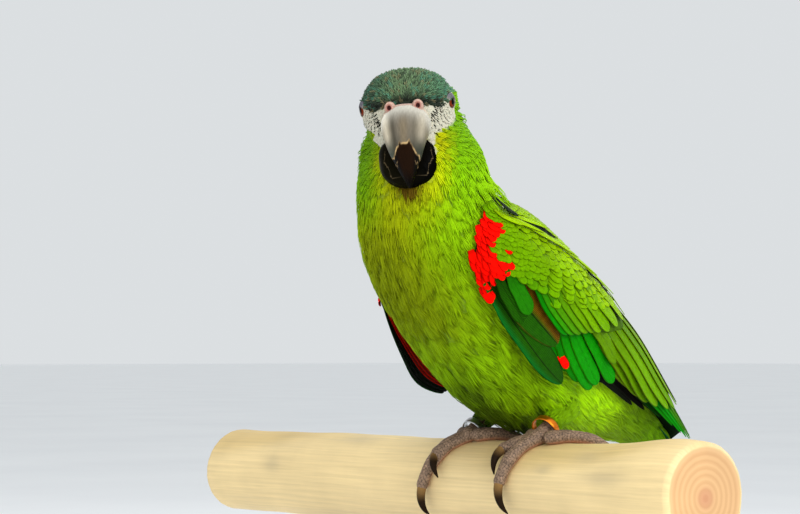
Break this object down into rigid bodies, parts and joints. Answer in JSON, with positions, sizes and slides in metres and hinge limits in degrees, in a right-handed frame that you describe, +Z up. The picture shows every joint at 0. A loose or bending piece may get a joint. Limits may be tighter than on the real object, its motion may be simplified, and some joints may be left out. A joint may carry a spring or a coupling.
{
  "type": "red-shouldered macaw",
  "caption": "Life-size still model of a red-shouldered macaw, a small green parrot with a bare white face, gripping a cut length of branch on a round display stand.",
  "frame": {"origin": "middle of the stand's flat underside", "axes": "+Z up, the bird's breast faces -Y, its left side is +X"},
  "size_m": [0.3236, 0.2661, 0.3085],
  "materials": {
    "plumage_green": "soft overlapping feathers, slightly glossy",
    "plumage_crown": "short dense teal-green feathers, bare white face with fine black bristles",
    "plumage_wing": "overlapping green vanes, scarlet at the wrist",
    "plumage_tail": "long stiff vanes, green above and olive below",
    "bill_horn": "grey horn with vertical streaks, glossy dark brown below",
    "bill_dark": "glossy dark horn",
    "claw": "dark horn, glossy",
    "eye": "wet, glossy, red-brown iris",
    "foot_skin": "grey pebbled scales",
    "branch": "peeled and sanded, fine grain",
    "stand_base": "dark stained, satin lacquer",
    "stand_rod": "brushed",
    "ring_copper": "orange anodised, shiny",
    "ring_silver": "bare, satin"
  },
  "bodies": {
    "root": {"head": "plumage_crown", "neck": "plumage_green", "trunk": "plumage_green", "rump": "plumage_green", "tail": "plumage_tail", "bill_upper": "bill_horn", "bill_lower": "bill_dark", "eye_left": "eye", "wing_left_arm": "plumage_wing", "wing_left_outer": "plumage_wing", "wing_left_inner": "plumage_wing", "claw_left_inner_front": "claw", "claw_left_outer_front": "claw", "claw_left_inner_back": "claw", "claw_left_outer_back": "claw", "foot_left": "foot_skin", "shank_left": "foot_skin", "thigh_left": "plumage_green", "eye_right": "eye", "wing_right_arm": "plumage_wing", "wing_right_outer": "plumage_wing", "wing_right_inner": "plumage_wing", "claw_right_inner_front": "claw", "claw_right_outer_front": "claw", "claw_right_inner_back": "claw", "claw_right_outer_back": "claw", "foot_right": "foot_skin", "shank_right": "foot_skin", "thigh_right": "plumage_green", "band_left": "ring_copper", "band_right": "ring_silver", "perch": "branch", "stand_base": "stand_base", "stand_rod_left": "stand_rod", "stand_rod_right": "stand_rod"}
  },
  "joints": []
}
